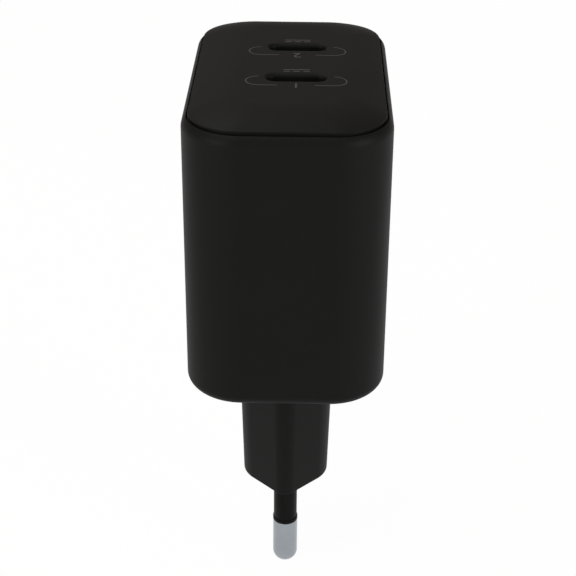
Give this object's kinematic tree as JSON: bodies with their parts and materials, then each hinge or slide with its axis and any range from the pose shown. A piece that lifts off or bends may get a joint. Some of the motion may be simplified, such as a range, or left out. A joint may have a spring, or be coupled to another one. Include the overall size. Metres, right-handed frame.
{
  "type": "usb wall charger",
  "caption": "Compact black mains charger with a domed lid, upright USB-C sockets in the lid and a fixed two-pin round plug below.",
  "frame": {"origin": "middle of the plug's engagement face, between the pins, where it lies on the wall socket", "axes": "+Z from the socket through the body to the ports, X along the ports' long side, Y along the line of the pins"},
  "size_m": [0.0294, 0.0484, 0.0837],
  "materials": {
    "case_plastic": "black moulded polycarbonate with a fine satin texture",
    "sleeve_plastic": "black nylon sleeve, satin",
    "pin_plating": "nickel-plated turned brass, bright satin",
    "contact_brass": "stamped brass strip",
    "board_laminate": "glass-epoxy laminate with green solder mask",
    "socket_steel": "folded stainless sheet",
    "socket_insert": "black moulded insert",
    "capacitor_film": "shrink sleeve on an aluminium can",
    "filter_box": "yellow film capacitor box",
    "disc_coating": "blue dipped epoxy",
    "ferrite": "sintered dark grey ferrite",
    "copper_wire": "enamelled copper wire",
    "winding_tape": "yellow polyester tape",
    "chip_epoxy": "black moulded epoxy",
    "can_aluminium": "bare drawn can",
    "spreader_copper": "bent copper sheet",
    "thermal_pad": "soft grey-blue silicone",
    "insulation_film": "thin polyester film"
  },
  "bodies": {
    "root": {"body_shell": "case_plastic", "top_cover": "case_plastic", "plug_base": "case_plastic", "pin_front": "pin_plating", "pin_rear": "pin_plating", "pin_sleeve_front": "sleeve_plastic", "pin_sleeve_rear": "sleeve_plastic", "contact_strip_front": "contact_brass", "contact_strip_rear": "contact_brass", "input_board": "board_laminate", "main_board": "board_laminate", "output_board": "board_laminate", "usb_c_shell_1": "socket_steel", "usb_c_shell_2": "socket_steel", "usb_c_insert_1": "socket_insert", "usb_c_insert_2": "socket_insert", "bulk_capacitor_1": "capacitor_film", "bulk_capacitor_2": "capacitor_film", "bulk_capacitor_3": "capacitor_film", "x_capacitor": "filter_box", "y_capacitor": "disc_coating", "thermistor": "disc_coating", "fuse": "chip_epoxy", "bridge_rectifier": "chip_epoxy", "choke_core": "ferrite", "choke_winding_1": "copper_wire", "choke_winding_2": "copper_wire", "transformer_core_lower": "ferrite", "transformer_core_upper": "ferrite", "transformer_bobbin": "chip_epoxy", "transformer_winding": "winding_tape", "power_switch": "chip_epoxy", "control_chip": "chip_epoxy", "optocoupler": "chip_epoxy", "sync_rectifier": "chip_epoxy", "output_capacitor_1": "can_aluminium", "output_capacitor_2": "can_aluminium", "buck_inductor_1": "ferrite", "buck_inductor_2": "ferrite", "protocol_chip_1": "chip_epoxy", "protocol_chip_2": "chip_epoxy", "heat_spreader": "spreader_copper", "thermal_pad": "thermal_pad", "insulation_sheet": "insulation_film"}
  },
  "joints": []
}
